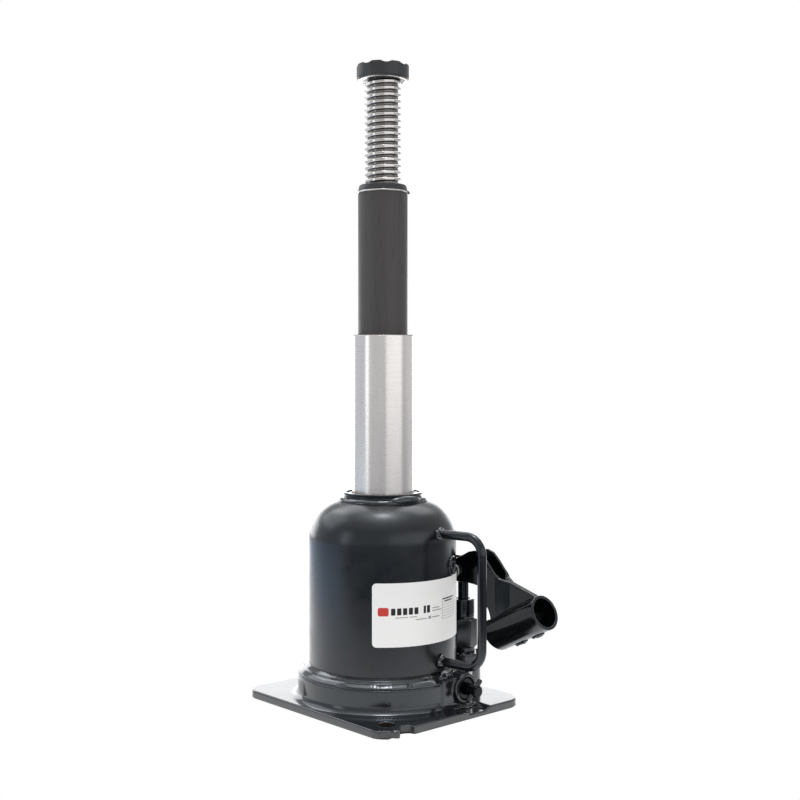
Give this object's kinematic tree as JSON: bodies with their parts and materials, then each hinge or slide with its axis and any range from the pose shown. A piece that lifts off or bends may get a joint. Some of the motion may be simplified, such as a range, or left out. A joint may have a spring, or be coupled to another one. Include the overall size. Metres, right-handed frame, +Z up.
{
  "type": "bottle jack",
  "caption": "Two-stage hydraulic bottle jack with an extension screw and crowned saddle, a side pump worked by a socketed lever, a release valve and a carry handle.",
  "frame": {"origin": "on the ground face, under the ram axis", "axes": "+Z up along the rams, +X the way the handle socket and the release valve point, +Y towards the pump"},
  "size_m": [0.1974, 0.1528, 0.493],
  "materials": {
    "black_paint": "gloss enamel, near black with a blue cast",
    "ground_steel": "satin ground",
    "phosphated_steel": "matte dark grey",
    "thread_steel": "bright turned",
    "dark_steel": "semi-gloss dark grey",
    "inner_steel": "machined, oiled",
    "copper": "soft copper washer",
    "brass": "fine mesh",
    "rubber": "matt black",
    "label_film": "white film, satin"
  },
  "bodies": {
    "jack_body": {"base": "black_paint", "base_weld": "black_paint", "reservoir_shell": "black_paint", "neck_ring": "black_paint", "neck_weld": "black_paint", "gland_nut": "dark_steel", "gland_gasket": "copper", "ram_wiper": "rubber", "pressure_cylinder": "inner_steel", "cylinder_gasket": "copper", "label": "label_film", "filler_plug": "rubber", "carry_handle": "black_paint", "handle_welds": "black_paint", "pump_cylinder": "black_paint", "pump_washer": "black_paint", "packing_nut": "black_paint", "plunger_packing": "rubber", "suction_strainer": "brass", "delivery_spring": "inner_steel", "delivery_plug": "inner_steel", "pivot_bracket": "black_paint", "bracket_weld": "black_paint", "release_gland_nut": "dark_steel"},
    "first_ram": {"first_ram": "ground_steel", "first_ram_seal": "rubber", "guide_ring": "dark_steel"},
    "second_ram": {"second_ram": "phosphated_steel", "second_ram_seal": "rubber", "snap_ring": "dark_steel"},
    "stop_ring": {"screw_stop_ring": "inner_steel"},
    "screw": {"extension_screw": "thread_steel", "stop_ring_clip": "dark_steel", "saddle": "dark_steel"},
    "plunger": {"plunger": "dark_steel"},
    "lever": {"lever_near_half": "black_paint", "lever_far_half": "black_paint", "lever_welds": "black_paint", "pivot_pin": "inner_steel", "pivot_clip": "dark_steel", "plunger_pin": "inner_steel", "plunger_pin_clip": "dark_steel"},
    "suction_ball": {"suction_ball": "inner_steel"},
    "delivery_ball": {"delivery_ball": "inner_steel"},
    "release_ball": {"release_ball": "inner_steel"},
    "release_valve": {"release_valve": "dark_steel", "release_t_pin": "dark_steel", "release_o_ring": "rubber"}
  },
  "joints": [
    {"name": "first_ram_slide", "type": "slide", "parent": "jack_body", "child": "first_ram", "axis": [0, 0, 1], "range_m": [-0.115, 0]},
    {"name": "second_ram_slide", "type": "slide", "parent": "first_ram", "child": "second_ram", "axis": [0, 0, 1], "range_m": [-0.109, 0]},
    {"name": "screw_travel", "type": "slide", "parent": "second_ram", "child": "stop_ring", "axis": [0, 0, 1], "range_m": [-0.079, 0]},
    {"name": "screw_turn", "type": "hinge", "parent": "stop_ring", "child": "screw", "pos_m": [0, 0, 0.374], "axis": [0, 0, 1], "range_deg": [-5670, 0]},
    {"name": "lever_hinge", "type": "hinge", "parent": "jack_body", "child": "lever", "pos_m": [-0.001, 0.067, 0.097], "axis": [0, -1, 0], "range_deg": [-19, 30]},
    {"name": "plunger_stroke", "type": "slide", "parent": "jack_body", "child": "plunger", "axis": [0, 0, 1], "range_m": [-0.0075, 0.0116]},
    {"name": "suction_ball_lift", "type": "slide", "parent": "jack_body", "child": "suction_ball", "axis": [0, 0, 1], "range_m": [0, 0.0012]},
    {"name": "delivery_ball_lift", "type": "slide", "parent": "jack_body", "child": "delivery_ball", "axis": [0, 0, 1], "range_m": [-0.0015, 0], "stiffness_N_per_m": 60, "springref_m": 0.002, "deforming": ["delivery_spring"]},
    {"name": "release_ball_travel", "type": "slide", "parent": "jack_body", "child": "release_ball", "axis": [1, 0, 0], "range_m": [0, 0.0021]},
    {"name": "release_turn", "type": "hinge", "parent": "release_ball", "child": "release_valve", "pos_m": [0.078, 0.0215, 0.0185], "axis": [1, 0, 0], "range_deg": [0, 720]}
  ],
  "couplings": [
    {"joint": "screw_travel", "follows": "screw_turn", "m_per_rad": 0.00079577},
    {"joint": "plunger_stroke", "follows": "lever_hinge", "m_per_rad": 0.0216},
    {"joint": "release_ball_travel", "follows": "release_turn", "m_per_rad": 0.00015915}
  ]
}
